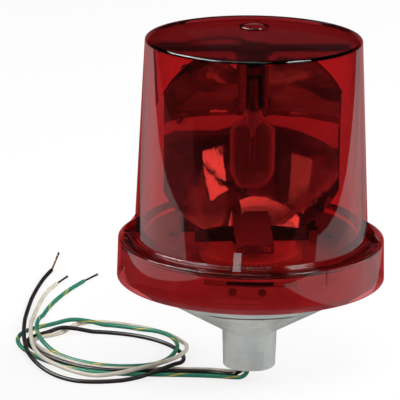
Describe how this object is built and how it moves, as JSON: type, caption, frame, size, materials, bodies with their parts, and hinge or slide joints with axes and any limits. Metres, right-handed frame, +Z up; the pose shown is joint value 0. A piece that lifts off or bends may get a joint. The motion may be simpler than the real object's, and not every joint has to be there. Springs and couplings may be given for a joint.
{
  "type": "rotating beacon light",
  "caption": "Rotating beacon light with a red translucent twist-on dome on a grey cast pipe-mount base, a geared reflector and lamp inside, and three loose leads.",
  "frame": {"origin": "centre of the hub's lower end face, where the pipe enters", "axes": "+Z up along the beacon's axis, +X to the right of the pictured view, -Y toward the camera"},
  "size_m": [0.2993, 0.4122, 0.2874],
  "materials": {
    "base_paint": "matt grey paint on cast aluminium",
    "black_rubber": "dull black rubber",
    "foil_plate": "satin blank foil",
    "zinc_steel": "zinc plated",
    "motor_steel": "dull plated can",
    "turned_steel": "turned",
    "spring_steel": "oil blackened",
    "brown_phenolic": "moulded phenolic",
    "carbon": "pressed carbon",
    "black_phenolic": "moulded phenolic",
    "brass": "plain brass",
    "green_screw": "green grounding screw",
    "lead_black_jacket": "soft black insulation",
    "lead_white_jacket": "aged white insulation",
    "lead_green_jacket": "green insulation",
    "grey_lead_jacket": "dark sleeve",
    "copper_strand": "bare stranded copper",
    "white_nylon": "moulded nylon",
    "bronze": "sintered bronze",
    "polished_aluminium": "polished",
    "bright_rivet": "bright",
    "black_steel": "black enamel",
    "lamp_glass_clear": "clear",
    "red_dome": "clear red moulding"
  },
  "bodies": {
    "base": {"base_casting": "base_paint", "lead_seal": "black_rubber", "rating_plate": "foil_plate", "dome_gasket": "black_rubber", "chassis_plate": "zinc_steel", "chassis_screws": "zinc_steel", "gearmotor": "motor_steel", "motor_screws": "zinc_steel", "spindle": "turned_steel", "spindle_nut": "zinc_steel", "retaining_clip": "spring_steel", "brush_holder": "brown_phenolic", "brushes": "carbon", "terminal_block": "black_phenolic", "terminal_screws": "brass", "terminal_bracket": "zinc_steel", "rim_screws": "zinc_steel", "ground_screw": "green_screw", "inner_leads": "lead_black_jacket", "lead_black": "lead_black_jacket", "lead_white": "lead_white_jacket", "lead_green": "lead_green_jacket", "conductor_black": "copper_strand", "conductor_white": "copper_strand", "conductor_green": "copper_strand"},
    "rotor": {"turntable": "white_nylon", "spindle_bush": "bronze", "slip_rings": "brass", "lower_crossbar": "black_phenolic", "crossbar_screws": "zinc_steel", "foot_bracket": "zinc_steel", "reflector": "polished_aluminium", "reflector_rivets": "bright_rivet", "reflector_posts": "turned_steel", "rear_uprights": "zinc_steel", "lamp_arm": "zinc_steel", "upper_crossbar": "black_steel", "lamp_socket": "zinc_steel", "socket_screws": "zinc_steel", "socket_contact": "brass", "lamp_cap": "brass", "lamp_glass": "lamp_glass_clear", "lamp_filament": "turned_steel", "rotor_lead": "grey_lead_jacket"},
    "pinion": {"motor_shaft": "turned_steel", "drive_pinion": "white_nylon"},
    "dome": {"dome": "red_dome"}
  },
  "joints": [
    {"name": "rotor_spin", "type": "hinge", "parent": "base", "child": "rotor", "pos_m": [0, 0, 0.09], "axis": [0, 0, 1], "continuous": true},
    {"name": "pinion_spin", "type": "hinge", "parent": "base", "child": "pinion", "pos_m": [-0.03214, 0.0383, 0.09], "axis": [0, 0, 1], "continuous": true},
    {"name": "dome_twist", "type": "hinge", "parent": "base", "child": "dome", "pos_m": [0, 0, 0.1], "axis": [0, 0, 1], "range_deg": [0, 30]}
  ],
  "couplings": [
    {"joint": "pinion_spin", "follows": "rotor_spin", "ratio": -4}
  ]
}
